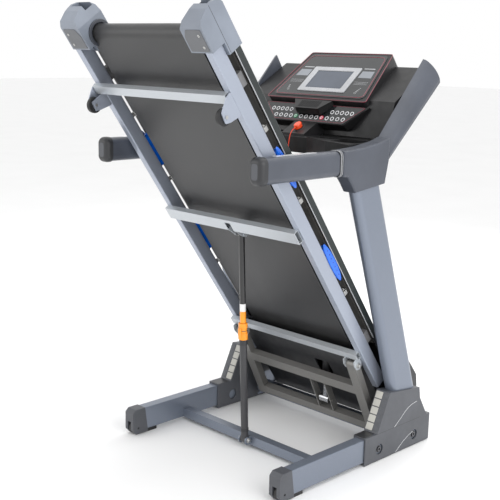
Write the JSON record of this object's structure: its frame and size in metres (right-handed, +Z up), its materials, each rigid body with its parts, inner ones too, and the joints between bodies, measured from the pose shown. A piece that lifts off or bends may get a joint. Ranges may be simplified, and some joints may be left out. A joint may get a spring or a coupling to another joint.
{
  "type": "folding treadmill",
  "caption": "Motorised treadmill folded upright: hinged running deck on a telescopic strut, leaning uprights, handrails and a sloping console.",
  "frame": {"origin": "centre of the folded machine's footprint on the floor", "axes": "+X to the runner's right, +Y forward to the console, +Z up"},
  "size_m": [0.756, 1.0552, 1.4682],
  "materials": {
    "frame_paint": "satin metallic blue-grey powder coat",
    "deck_paint": "satin light blue-grey powder coat",
    "dark_plastic": "fine moulded grain, dark grey",
    "grip_plastic": "satin slate grey",
    "console_plastic": "fine moulded grain, near black",
    "panel_gloss": "gloss black overlay with rose outline",
    "bezel_silver": "silver paint",
    "lcd": "dark display window",
    "key_green": "green ring key",
    "key_red": "red ring key",
    "safety_red": "bright orange-red",
    "lanyard_red": "red cord",
    "zinc": "zinc plated",
    "strut_black": "gloss black tube",
    "strut_grey": "dark grey tube",
    "release_orange": "orange sleeve",
    "rubber_black": "matt rubber",
    "cushion_blue": "glossy blue elastomer",
    "cushion_grey": "matt grey elastomer",
    "belt": "matt fine-weave belt",
    "foot_rail_dark": "dark green-black with grip ribs",
    "board": "waxed black board",
    "motor_black": "black enamel",
    "roller_steel": "turned steel"
  },
  "bodies": {
    "base": {"rail_left": "frame_paint", "rail_right": "frame_paint", "rear_crossbar": "frame_paint", "front_crossbar": "frame_paint", "rail_caps": "dark_plastic", "foot_pads": "rubber_black", "boot_left": "dark_plastic", "boot_right": "dark_plastic", "base_bolts": "zinc", "upright_left": "frame_paint", "upright_right": "frame_paint", "handle_left": "grip_plastic", "handle_right": "grip_plastic", "handle_caps": "console_plastic", "corner_shells": "grip_plastic", "wing_left": "grip_plastic", "wing_right": "grip_plastic", "console_tray": "console_plastic", "console_housing": "console_plastic", "display_panel": "panel_gloss", "lcd_bezel": "bezel_silver", "lcd_lens": "lcd", "key_panel": "panel_gloss", "fan_grille": "console_plastic", "strut_bracket": "frame_paint"},
    "deck": {"side_tube_left": "deck_paint", "side_tube_right": "deck_paint", "deck_crossbars": "deck_paint", "deck_board": "board", "running_belt": "belt", "foot_rail_left": "foot_rail_dark", "foot_rail_right": "foot_rail_dark", "grey_cushions": "cushion_grey", "blue_cushions": "cushion_blue", "rear_cap_left": "grip_plastic", "rear_cap_right": "grip_plastic", "motor_pan": "dark_plastic", "motor_hood": "dark_plastic", "drive_motor": "motor_black", "deck_axles": "zinc", "wheel_brackets": "deck_paint", "drive_belt": "belt"},
    "lift_frame": {"lift_frame": "deck_paint"},
    "incline_motor": {"incline_motor": "motor_black"},
    "incline_tube": {"incline_tube": "roller_steel"},
    "strut_tube": {"strut_tube": "strut_grey", "strut_release": "release_orange"},
    "strut_cylinder": {"strut_cylinder": "strut_black"},
    "front_roller": {"front_roller": "roller_steel"},
    "rear_roller": {"rear_roller": "roller_steel"},
    "motor_pulley": {"motor_pulley": "roller_steel"},
    "deck_wheel_left": {"deck_wheel_left": "rubber_black"},
    "deck_wheel_right": {"deck_wheel_right": "rubber_black"},
    "base_wheel_left": {"base_wheel_left": "rubber_black"},
    "base_wheel_right": {"base_wheel_right": "rubber_black"},
    "start_key": {"start_key": "key_green"},
    "stop_key": {"stop_key": "key_red"},
    "safety_key": {"safety_key": "safety_red", "lanyard_cord": "lanyard_red", "lanyard_clip": "zinc"}
  },
  "joints": [
    {"name": "deck_fold", "type": "hinge", "parent": "base", "child": "deck", "pos_m": [0, 0.35284, 0.051], "axis": [1, 0, 0], "range_deg": [0, 56]},
    {"name": "strut_hinge", "type": "hinge", "parent": "base", "child": "strut_tube", "pos_m": [0, -0.01816, 0.032], "axis": [1, 0, 0], "range_deg": [0, 77.8]},
    {"name": "strut_slide", "type": "slide", "parent": "strut_tube", "child": "strut_cylinder", "axis": [0, -0.0484, 0.9988], "range_m": [-0.2786, 0]},
    {"name": "incline", "type": "hinge", "parent": "deck", "child": "lift_frame", "pos_m": [0, 0.22015, 0.31471], "axis": [-1, 0, 0], "range_deg": [0, 18]},
    {"name": "jack_hinge", "type": "hinge", "parent": "deck", "child": "incline_motor", "pos_m": [0.069, 0.31956, 0.28745], "axis": [-1, 0, 0], "range_deg": [0, 19.5]},
    {"name": "jack_slide", "type": "slide", "parent": "incline_motor", "child": "incline_tube", "axis": [0, 0.0053, -1], "range_m": [0, 0.0331]},
    {"name": "front_roller_spin", "type": "hinge", "parent": "deck", "child": "front_roller", "pos_m": [0, 0.29232, 0.34788], "axis": [1, 0, 0], "continuous": true},
    {"name": "rear_roller_spin", "type": "hinge", "parent": "deck", "child": "rear_roller", "pos_m": [0, -0.44469, 1.37847], "axis": [1, 0, 0], "continuous": true},
    {"name": "motor_spin", "type": "hinge", "parent": "deck", "child": "motor_pulley", "pos_m": [0, 0.39863, 0.24565], "axis": [1, 0, 0], "continuous": true},
    {"name": "deck_wheel_left_spin", "type": "hinge", "parent": "deck", "child": "deck_wheel_left", "pos_m": [-0.292, -0.42085, 1.15947], "axis": [1, 0, 0], "continuous": true},
    {"name": "deck_wheel_right_spin", "type": "hinge", "parent": "deck", "child": "deck_wheel_right", "pos_m": [0.292, -0.42085, 1.15947], "axis": [1, 0, 0], "continuous": true},
    {"name": "base_wheel_left_spin", "type": "hinge", "parent": "base", "child": "base_wheel_left", "pos_m": [-0.352, -0.21716, 0.0245], "axis": [1, 0, 0], "continuous": true},
    {"name": "base_wheel_right_spin", "type": "hinge", "parent": "base", "child": "base_wheel_right", "pos_m": [0.352, -0.21716, 0.0245], "axis": [1, 0, 0], "continuous": true},
    {"name": "start_key_press", "type": "slide", "parent": "base", "child": "start_key", "axis": [0, 0.804, -0.5946], "range_m": [0, 0.0008], "stiffness_N_per_m": 600},
    {"name": "stop_key_press", "type": "slide", "parent": "base", "child": "stop_key", "axis": [0, 0.804, -0.5946], "range_m": [0, 0.0008], "stiffness_N_per_m": 600},
    {"name": "safety_key_pull", "type": "slide", "parent": "base", "child": "safety_key", "axis": [0, -0.4749, 0.88], "range_m": [0, 0.015]}
  ],
  "couplings": [
    {"joint": "strut_hinge", "follows": "deck_fold", "ratio": 1.3832},
    {"joint": "strut_slide", "follows": "deck_fold", "m_per_rad": -0.28397},
    {"joint": "jack_hinge", "follows": "incline", "ratio": 1.0583},
    {"joint": "jack_slide", "follows": "incline", "m_per_rad": 0.10207},
    {"joint": "rear_roller_spin", "follows": "front_roller_spin", "ratio": 1},
    {"joint": "motor_spin", "follows": "front_roller_spin", "ratio": 1.5}
  ]
}
